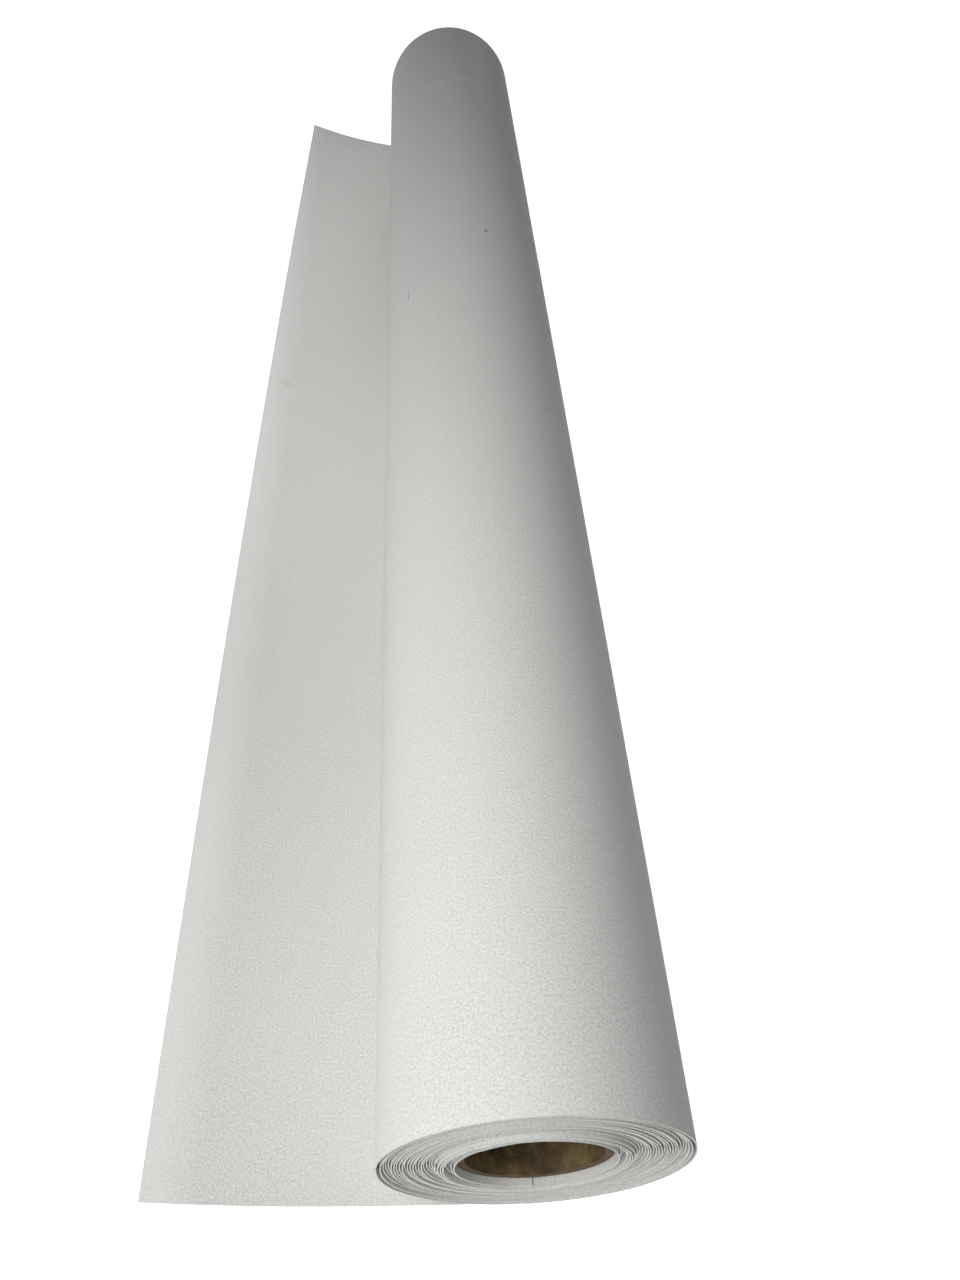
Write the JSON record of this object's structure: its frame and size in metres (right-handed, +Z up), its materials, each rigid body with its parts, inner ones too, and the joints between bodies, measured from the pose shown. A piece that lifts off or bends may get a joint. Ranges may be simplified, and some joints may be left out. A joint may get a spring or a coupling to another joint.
{
  "type": "backdrop paper roll",
  "caption": "Wide sheet of pale grained backdrop paper wound on a hollow board core, with its free end curling up beside the roll.",
  "frame": {"origin": "on the axis of the core's bore, midway along the core", "axes": "+Y along the core, away from the end that the picture shows; +Z up; the free end of the sheet runs towards -X on the surface that the roll lies on"},
  "size_m": [0.2787, 1.3542, 0.157],
  "materials": {
    "backdrop_sheet": "matte white with a fine embossed grain",
    "core_board": "bare grey-brown paperboard",
    "core_liner_board": "smooth brown kraft liner with a helical seam",
    "adhesive_tape": "thin translucent double-sided tape"
  },
  "bodies": {
    "core": {"core_liner": "core_liner_board", "core_ply_1": "core_board", "core_ply_2": "core_board", "core_ply_3": "core_board", "core_ply_4": "core_board", "core_ply_5": "core_board", "core_wrap": "core_board", "start_tapes": "adhesive_tape", "inner_turns": "backdrop_sheet"},
    "inner_middle": {"inner_middle_turns": "backdrop_sheet"},
    "outer_middle": {"outer_middle_turns": "backdrop_sheet"},
    "outer_wound": {"outer_turns": "backdrop_sheet"},
    "last": {"last_turn": "backdrop_sheet"},
    "tail_01": {"tail_strip_01": "backdrop_sheet"},
    "tail_02": {"tail_strip_02": "backdrop_sheet"},
    "tail_03": {"tail_strip_03": "backdrop_sheet"},
    "tail_04": {"tail_strip_04": "backdrop_sheet"},
    "tail_05": {"tail_strip_05": "backdrop_sheet"},
    "tail_06": {"tail_strip_06": "backdrop_sheet"},
    "tail_07": {"tail_strip_07": "backdrop_sheet"},
    "tail_08": {"tail_strip_08": "backdrop_sheet"},
    "tail_09": {"tail_strip_09": "backdrop_sheet"},
    "tail_10": {"tail_strip_10": "backdrop_sheet"}
  },
  "joints": [
    {"name": "telescope", "type": "slide", "parent": "core", "child": "inner_middle", "axis": [0, 1, 0], "range_m": [-0.008, 0.008]},
    {"name": "telescope_middle", "type": "slide", "parent": "inner_middle", "child": "outer_middle", "axis": [0, 1, 0], "range_m": [-0.008, 0.008]},
    {"name": "telescope_outer", "type": "slide", "parent": "outer_middle", "child": "outer_wound", "axis": [0, 1, 0], "range_m": [-0.008, 0.008]},
    {"name": "pay_out", "type": "hinge", "parent": "outer_wound", "child": "last", "pos_m": [0, 0, 0], "axis": [0, 1, 0], "continuous": true},
    {"name": "tail_curl", "type": "hinge", "parent": "last", "child": "tail_01", "pos_m": [-0.00981, 0, -0.0787], "axis": [0, 1, 0], "range_deg": [-2.25, 10.1], "stiffness_Nm_per_rad": 6, "springref_deg": 4.41},
    {"name": "tail_curl_02", "type": "hinge", "parent": "tail_01", "child": "tail_02", "pos_m": [-0.02941, 0, -0.07793], "axis": [0, 1, 0], "range_deg": [-2.25, 10.1]},
    {"name": "tail_curl_03", "type": "hinge", "parent": "tail_02", "child": "tail_03", "pos_m": [-0.04897, 0, -0.07639], "axis": [0, 1, 0], "range_deg": [-2.25, 10.1]},
    {"name": "tail_curl_04", "type": "hinge", "parent": "tail_03", "child": "tail_04", "pos_m": [-0.06846, 0, -0.07408], "axis": [0, 1, 0], "range_deg": [-2.25, 10.1]},
    {"name": "tail_curl_05", "type": "hinge", "parent": "tail_04", "child": "tail_05", "pos_m": [-0.08783, 0, -0.07101], "axis": [0, 1, 0], "range_deg": [-2.25, 10.1]},
    {"name": "tail_curl_06", "type": "hinge", "parent": "tail_05", "child": "tail_06", "pos_m": [-0.10708, 0, -0.06719], "axis": [0, 1, 0], "range_deg": [-2.25, 10.1]},
    {"name": "tail_curl_07", "type": "hinge", "parent": "tail_06", "child": "tail_07", "pos_m": [-0.12615, 0, -0.06261], "axis": [0, 1, 0], "range_deg": [-2.25, 10.1]},
    {"name": "tail_curl_08", "type": "hinge", "parent": "tail_07", "child": "tail_08", "pos_m": [-0.14503, 0, -0.05728], "axis": [0, 1, 0], "range_deg": [-2.25, 10.1]},
    {"name": "tail_curl_09", "type": "hinge", "parent": "tail_08", "child": "tail_09", "pos_m": [-0.16369, 0, -0.05122], "axis": [0, 1, 0], "range_deg": [-2.25, 10.1]},
    {"name": "tail_curl_10", "type": "hinge", "parent": "tail_09", "child": "tail_10", "pos_m": [-0.1821, 0, -0.04443], "axis": [0, 1, 0], "range_deg": [-2.25, 10.1]}
  ],
  "couplings": [
    {"joint": "telescope_middle", "follows": "telescope", "ratio": 1},
    {"joint": "telescope_outer", "follows": "telescope", "ratio": 1},
    {"joint": "tail_curl_02", "follows": "tail_curl", "ratio": 1},
    {"joint": "tail_curl_03", "follows": "tail_curl", "ratio": 1},
    {"joint": "tail_curl_04", "follows": "tail_curl", "ratio": 1},
    {"joint": "tail_curl_05", "follows": "tail_curl", "ratio": 1},
    {"joint": "tail_curl_06", "follows": "tail_curl", "ratio": 1},
    {"joint": "tail_curl_07", "follows": "tail_curl", "ratio": 1},
    {"joint": "tail_curl_08", "follows": "tail_curl", "ratio": 1},
    {"joint": "tail_curl_09", "follows": "tail_curl", "ratio": 1},
    {"joint": "tail_curl_10", "follows": "tail_curl", "ratio": 1}
  ]
}
